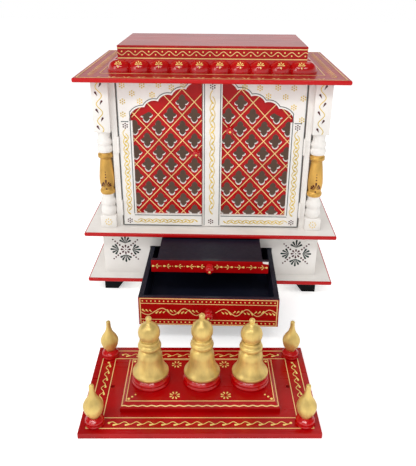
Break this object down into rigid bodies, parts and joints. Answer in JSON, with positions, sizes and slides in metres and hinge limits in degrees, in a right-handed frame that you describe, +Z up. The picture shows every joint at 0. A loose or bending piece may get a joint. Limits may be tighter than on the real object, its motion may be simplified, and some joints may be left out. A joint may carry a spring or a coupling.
{
  "type": "wooden home temple cabinet",
  "caption": "Painted wooden pooja mandir with arched jali doors, a drawer and a sliding tray pulled out, and its bell crown set down in front.",
  "frame": {"origin": "on the floor, in the middle of the rectangle that the temple and its set-down crown cover", "axes": "+X to the right, +Y from the doors to the back, +Z up"},
  "size_m": [0.468, 0.725, 0.4548],
  "materials": {
    "white_paint": "satin paint",
    "red_lacquer": "gloss lacquer",
    "red_paint": "satin paint",
    "gold_paint": "satin metallic paint",
    "dark_lacquer": "satin paint",
    "black_paint": "satin paint",
    "painted_hinge": "paint"
  },
  "bodies": {
    "temple": {"back_wall": "white_paint", "bell_bases": "red_lacquer", "bottom_slab": "white_paint", "crown_pad": "red_lacquer", "crown_plate": "red_lacquer", "drawer_runners": "dark_lacquer", "feet": "black_paint", "finial_bases": "red_lacquer", "finials": "gold_paint", "left_bell": "gold_paint", "left_jamb": "white_paint", "left_jamb_hinges": "painted_hinge", "left_post": "white_paint", "left_wall": "white_paint", "middle_bell": "gold_paint", "middle_slab": "white_paint", "plinth_back": "white_paint", "plinth_front_left": "white_paint", "plinth_front_right": "white_paint", "plinth_header_left": "white_paint", "plinth_header_right": "white_paint", "plinth_left_side": "white_paint", "plinth_right_side": "white_paint", "right_bell": "gold_paint", "right_jamb": "white_paint", "right_jamb_hinges": "painted_hinge", "right_post": "white_paint", "right_wall": "white_paint", "roof_block": "red_lacquer", "roof_lid": "red_lacquer", "roof_moulding": "red_lacquer", "roof_slab": "red_lacquer", "tray_runners": "dark_lacquer"},
    "drawer": {"drawer_back": "dark_lacquer", "drawer_bottom": "dark_lacquer", "drawer_front": "red_lacquer", "drawer_knob": "red_lacquer", "drawer_left_side": "dark_lacquer", "drawer_right_side": "dark_lacquer"},
    "left_door": {"left_door_arch": "white_paint", "left_door_bottom_rail": "white_paint", "left_door_hinge_stile": "white_paint", "left_door_hinges": "painted_hinge", "left_door_jali": "red_paint", "left_door_knob": "red_lacquer"},
    "right_door": {"right_door_arch": "white_paint", "right_door_bottom_rail": "white_paint", "right_door_centre_stile": "white_paint", "right_door_hinge_stile": "white_paint", "right_door_hinges": "painted_hinge", "right_door_jali": "red_paint", "right_door_knob": "red_lacquer"},
    "tray": {"tray_board": "dark_lacquer", "tray_knob": "red_lacquer", "tray_strip": "red_lacquer"}
  },
  "joints": [
    {"name": "left_door_hinge", "type": "hinge", "parent": "temple", "child": "left_door", "pos_m": [-0.166, 0.04813, 0.2298], "axis": [0, 0, -1], "range_deg": [0, 110]},
    {"name": "right_door_hinge", "type": "hinge", "parent": "temple", "child": "right_door", "pos_m": [0.166, 0.04813, 0.2298], "axis": [0, 0, 1], "range_deg": [0, 110]},
    {"name": "drawer_slide", "type": "slide", "parent": "temple", "child": "drawer", "axis": [0, -1, 0], "range_m": [-0.1852, 0]},
    {"name": "tray_slide", "type": "slide", "parent": "temple", "child": "tray", "axis": [0, -1, 0], "range_m": [-0.1027, 0.04]}
  ]
}
